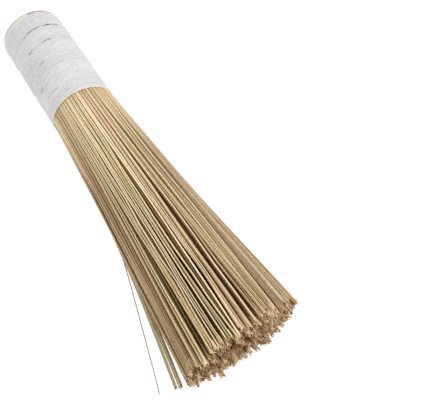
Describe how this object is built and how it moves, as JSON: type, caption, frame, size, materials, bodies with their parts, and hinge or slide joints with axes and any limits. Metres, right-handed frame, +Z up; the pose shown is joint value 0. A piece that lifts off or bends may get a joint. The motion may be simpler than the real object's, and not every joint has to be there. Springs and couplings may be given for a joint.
{
  "type": "bamboo wok brush",
  "caption": "Bamboo whisk brush for scouring woks: a round bundle of split bamboo bound with a white strip as the handle, fanning out to a wide cut bristle end.",
  "frame": {"origin": "centre of the sawn butt face, on the handle's axis, with the brush lying on its side on a table", "axes": "+X from the butt along the handle to the bristle tips, +Y across the wide fan away from the loose fibre, +Z up from the table"},
  "size_m": [0.2424, 0.0761, 0.0427],
  "materials": {
    "bamboo": "satin",
    "strip": "matte"
  },
  "bodies": {
    "root": {"core_splints": "bamboo", "ring_02_back": "bamboo", "ring_02_top": "bamboo", "ring_02_front": "bamboo", "ring_02_bottom": "bamboo", "ring_03_back": "bamboo", "ring_03_top": "bamboo", "ring_03_front": "bamboo", "ring_03_bottom": "bamboo", "ring_04_back": "bamboo", "ring_04_top": "bamboo", "ring_04_front": "bamboo", "ring_04_bottom": "bamboo", "ring_05_back": "bamboo", "ring_05_top": "bamboo", "ring_05_front": "bamboo", "ring_05_bottom": "bamboo", "ring_06_back": "bamboo", "ring_06_top": "bamboo", "ring_06_front": "bamboo", "ring_06_bottom": "bamboo", "ring_07_back": "bamboo", "ring_07_top": "bamboo", "ring_07_front": "bamboo", "ring_07_bottom": "bamboo", "ring_08_back": "bamboo", "ring_08_top": "bamboo", "ring_08_front": "bamboo", "ring_08_bottom": "bamboo", "ring_09_back": "bamboo", "ring_09_top": "bamboo", "ring_09_front": "bamboo", "ring_09_bottom": "bamboo", "ring_10_back": "bamboo", "ring_10_top": "bamboo", "ring_10_front": "bamboo", "ring_10_bottom": "bamboo", "stray_splints": "bamboo", "binding_strip": "strip"}
  },
  "joints": []
}
